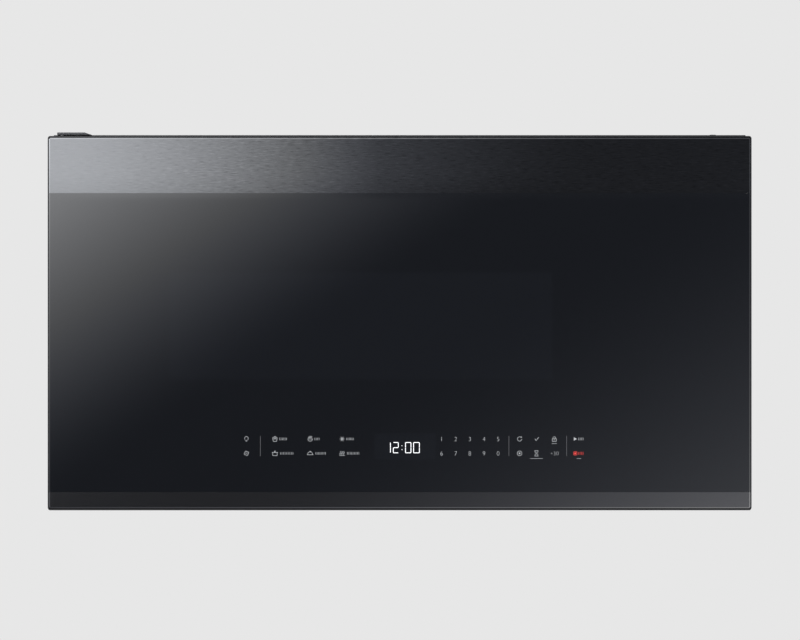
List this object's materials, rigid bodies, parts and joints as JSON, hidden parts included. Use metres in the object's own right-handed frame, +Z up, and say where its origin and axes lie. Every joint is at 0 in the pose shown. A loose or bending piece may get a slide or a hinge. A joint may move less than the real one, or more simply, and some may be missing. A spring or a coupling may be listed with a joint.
{
  "type": "over-the-range microwave oven",
  "caption": "Wide microwave oven with hood for mounting over a range: full-width black glass door hung at the left, brushed bands, touch row, turntable, filters and blower.",
  "frame": {"origin": "middle of the width on the back face, level with the middle of the door height", "axes": "+X to the right seen from the front, +Y to the wall, +Z up; the door faces -Y"},
  "size_m": [0.759, 0.41, 0.4072],
  "materials": {
    "edge_frame": "satin black moulded frame with a bright front edge",
    "black_glass": "gloss black glass",
    "dark_brushed": "dark horizontally brushed metal, satin",
    "casing": "satin dark paint",
    "black_plastic": "matt black",
    "steel": "plain sheet steel",
    "enamel": "grey enamel, satin",
    "aluminium": "plain aluminium",
    "clear_glass": "clear glass",
    "white_plastic": "off-white, matt",
    "board": "green circuit board",
    "winding": "lacquered copper winding",
    "mica": "mica sheet",
    "charcoal": "charcoal granules in a black frame",
    "dark_rubber": "black rubber"
  },
  "bodies": {
    "cabinet": {"cabinet_wrap": "casing", "rear_panel": "steel", "base_pan": "casing", "front_frame": "enamel", "vent_louvre": "black_plastic", "upper_hinge_bracket": "steel", "lower_hinge_bracket": "steel", "hinge_cover": "black_plastic", "cord_gland": "dark_rubber", "cooktop_lamp_lens_left": "clear_glass", "cooktop_lamp_lens_right": "clear_glass", "cooktop_lamp_holder_left": "white_plastic", "cooktop_lamp_holder_right": "white_plastic", "blower_housing": "steel", "blower_motor": "steel", "exhaust_duct": "steel", "charcoal_filter": "charcoal", "cavity_box": "enamel", "mica_cover": "mica", "cavity_lamp": "white_plastic", "turntable_motor": "steel", "waveguide": "steel", "magnetron": "aluminium", "transformer_core": "steel", "transformer_windings": "winding", "hv_capacitor": "aluminium", "cooling_fan_shroud": "white_plastic", "cooling_fan_motor": "steel", "latch_board": "black_plastic", "interlock_switch_upper": "black_plastic", "interlock_switch_lower": "black_plastic"},
    "door": {"door_edge_frame": "edge_frame", "door_glass": "black_glass", "top_band": "dark_brushed", "bottom_band": "dark_brushed", "door_inner_frame": "steel", "window_screen": "steel", "choke_cover": "black_plastic", "inner_window_pane": "clear_glass", "touch_board": "board", "display_module": "black_plastic", "upper_hinge_bush": "white_plastic", "lower_hinge_bush": "white_plastic", "latch_spring": "steel"},
    "door_latch": {"door_latch": "white_plastic"},
    "turntable": {"glass_tray": "clear_glass", "turntable_coupler": "white_plastic"},
    "roller_ring": {"roller_ring": "white_plastic"},
    "roller_1": {"roller_1": "white_plastic"},
    "roller_2": {"roller_2": "white_plastic"},
    "roller_3": {"roller_3": "white_plastic"},
    "cooling_fan": {"cooling_fan_blade": "black_plastic"},
    "blower_wheels": {"blower_wheel_left": "black_plastic", "blower_wheel_right": "black_plastic"},
    "grease_filter_left": {"grease_filter_frame_left": "aluminium", "grease_filter_mesh_left": "aluminium"},
    "grease_filter_right": {"grease_filter_frame_right": "aluminium", "grease_filter_mesh_right": "aluminium"},
    "switch_plunger_upper": {"switch_plunger_upper": "white_plastic"},
    "switch_plunger_lower": {"switch_plunger_lower": "white_plastic"}
  },
  "joints": [
    {"name": "door_hinge", "type": "hinge", "parent": "cabinet", "child": "door", "pos_m": [-0.3625, -0.381, 0], "axis": [0, 0, -1], "range_deg": [0, 95]},
    {"name": "latch_slide", "type": "slide", "parent": "door", "child": "door_latch", "axis": [0, 0, 1], "range_m": [0, 0.005], "stiffness_N_per_m": 200, "springref_m": -0.01, "deforming": ["latch_spring"]},
    {"name": "turntable_spin", "type": "hinge", "parent": "cabinet", "child": "turntable", "pos_m": [-0.04125, -0.1905, -0.12995], "axis": [0, 0, 1], "continuous": true},
    {"name": "roller_ring_spin", "type": "hinge", "parent": "cabinet", "child": "roller_ring", "pos_m": [-0.04125, -0.1905, -0.12995], "axis": [0, 0, 1], "continuous": true},
    {"name": "roller_1_spin", "type": "hinge", "parent": "roller_ring", "child": "roller_1", "pos_m": [0.05875, -0.1905, -0.12995], "axis": [1, 0, 0], "continuous": true},
    {"name": "roller_2_spin", "type": "hinge", "parent": "roller_ring", "child": "roller_2", "pos_m": [-0.09125, -0.1039, -0.12995], "axis": [-0.5, 0.866, 0], "continuous": true},
    {"name": "roller_3_spin", "type": "hinge", "parent": "roller_ring", "child": "roller_3", "pos_m": [-0.09125, -0.2771, -0.12995], "axis": [-0.5, -0.866, 0], "continuous": true},
    {"name": "cooling_fan_spin", "type": "hinge", "parent": "cabinet", "child": "cooling_fan", "pos_m": [0.3026, -0.093, 0.015], "axis": [0, 1, 0], "continuous": true},
    {"name": "blower_spin", "type": "hinge", "parent": "cabinet", "child": "blower_wheels", "pos_m": [0, -0.0515, 0.15655], "axis": [1, 0, 0], "continuous": true},
    {"name": "left_filter_drop", "type": "slide", "parent": "cabinet", "child": "grease_filter_left", "axis": [0, 0, -1], "range_m": [0, 0.06]},
    {"name": "right_filter_drop", "type": "slide", "parent": "cabinet", "child": "grease_filter_right", "axis": [0, 0, -1], "range_m": [0, 0.06]},
    {"name": "upper_switch_press", "type": "slide", "parent": "cabinet", "child": "switch_plunger_upper", "axis": [0, 1, 0], "range_m": [0, 0.0015], "stiffness_N_per_m": 150, "springref_m": -0.004},
    {"name": "lower_switch_press", "type": "slide", "parent": "cabinet", "child": "switch_plunger_lower", "axis": [0, 1, 0], "range_m": [0, 0.0015], "stiffness_N_per_m": 150, "springref_m": -0.004}
  ],
  "couplings": [
    {"joint": "roller_ring_spin", "follows": "turntable_spin", "ratio": 0.5},
    {"joint": "roller_1_spin", "follows": "turntable_spin", "ratio": -6.25},
    {"joint": "roller_2_spin", "follows": "turntable_spin", "ratio": -6.25},
    {"joint": "roller_3_spin", "follows": "turntable_spin", "ratio": -6.25}
  ]
}
